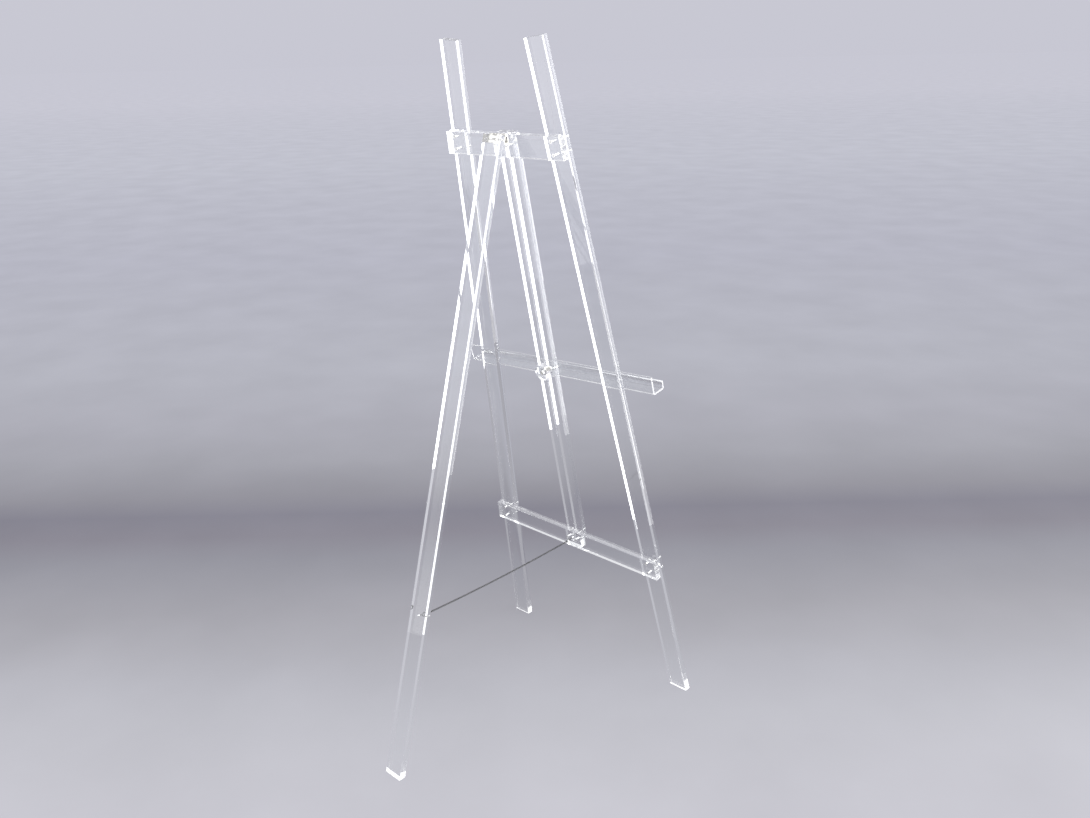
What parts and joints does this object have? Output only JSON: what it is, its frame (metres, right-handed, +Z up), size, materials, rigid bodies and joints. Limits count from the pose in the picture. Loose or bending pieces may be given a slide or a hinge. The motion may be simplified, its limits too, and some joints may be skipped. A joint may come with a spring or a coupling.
{
  "type": "display easel",
  "caption": "Full-size folding display easel in clear acrylic: two splayed front legs, slotted post, hinged hind leg on a chain and a clamped picture ledge.",
  "frame": {"origin": "on the floor, in the middle of the easel's footprint (bounding box bottom centre)", "axes": "+Z up, the easel's front (picture side) faces -Y, the hind leg stands towards +Y, +X runs along the rails"},
  "size_m": [0.6228, 0.7336, 1.6048],
  "materials": {
    "clear_acrylic": "clear cast acrylic bar, polished faces, saw-cut and flame-polished ends",
    "clear_sheet": "clear acrylic sheet, heat-bent, polished edges",
    "bright_steel": "bright zinc-plated steel screws, bolt and washer",
    "hinge_metal": "warm nickel-plated hinge and leaf screws",
    "chain_steel": "dull plated steel chain",
    "insert_brass": "brass threaded insert"
  },
  "bodies": {
    "front_frame": {"left_leg": "clear_acrylic", "right_leg": "clear_acrylic", "slotted_post": "clear_acrylic", "top_rail": "clear_acrylic", "lower_rail": "clear_acrylic", "top_left_screws": "bright_steel", "top_right_screws": "bright_steel", "top_post_screws": "bright_steel", "lower_left_screws": "bright_steel", "lower_right_screws": "bright_steel", "lower_post_screws": "bright_steel", "hinge_rail_leaf": "hinge_metal", "hinge_rail_screws": "hinge_metal", "hinge_pin": "hinge_metal", "rail_screw_eye": "chain_steel"},
    "hind_leg": {"hind_leg": "clear_acrylic", "hinge_leg_leaf": "hinge_metal", "hinge_leg_screws": "hinge_metal", "leg_screw_eye": "chain_steel"},
    "chain_front": {"chain_front_length": "chain_steel"},
    "chain_rear": {"chain_rear_length": "chain_steel"},
    "ledge_clamp": {"clamp_bolt": "bright_steel", "clamp_washer": "bright_steel"},
    "ledge": {"picture_ledge": "clear_sheet"},
    "knob": {"clamp_knob": "clear_acrylic", "knob_insert": "insert_brass"}
  },
  "joints": [
    {"name": "hind_leg_fold", "type": "hinge", "parent": "front_frame", "child": "hind_leg", "pos_m": [0, -0.04392, 1.40763], "axis": [-1, 0, 0], "range_deg": [0, 26.2]},
    {"name": "ledge_height", "type": "slide", "parent": "front_frame", "child": "ledge_clamp", "axis": [0, 0.1994, 0.9799], "range_m": [-0.44, 0.499]},
    {"name": "ledge_swivel", "type": "hinge", "parent": "ledge_clamp", "child": "ledge", "pos_m": [0, -0.17706, 0.85253], "axis": [0, 0.9799, -0.1994], "range_deg": [-93.2, 86.8]},
    {"name": "knob_turn", "type": "hinge", "parent": "ledge_clamp", "child": "knob", "pos_m": [0, -0.17706, 0.85253], "axis": [0, 0.9799, -0.1994], "continuous": true},
    {"name": "chain_front_swing", "type": "hinge", "parent": "front_frame", "child": "chain_front", "pos_m": [-0.0023, -0.24401, 0.37224], "axis": [-1, 0, 0], "range_deg": [0, 99.7], "deforming": ["chain_front_length"]},
    {"name": "chain_rear_swing", "type": "hinge", "parent": "hind_leg", "child": "chain_rear", "pos_m": [0.0023, 0.23338, 0.369], "axis": [1, 0, 0], "range_deg": [0, 104.3], "deforming": ["chain_rear_length"]}
  ],
  "couplings": [
    {"joint": "chain_front_swing", "follows": "hind_leg_fold", "ratio": 3.785},
    {"joint": "chain_rear_swing", "follows": "hind_leg_fold", "ratio": 3.963}
  ]
}
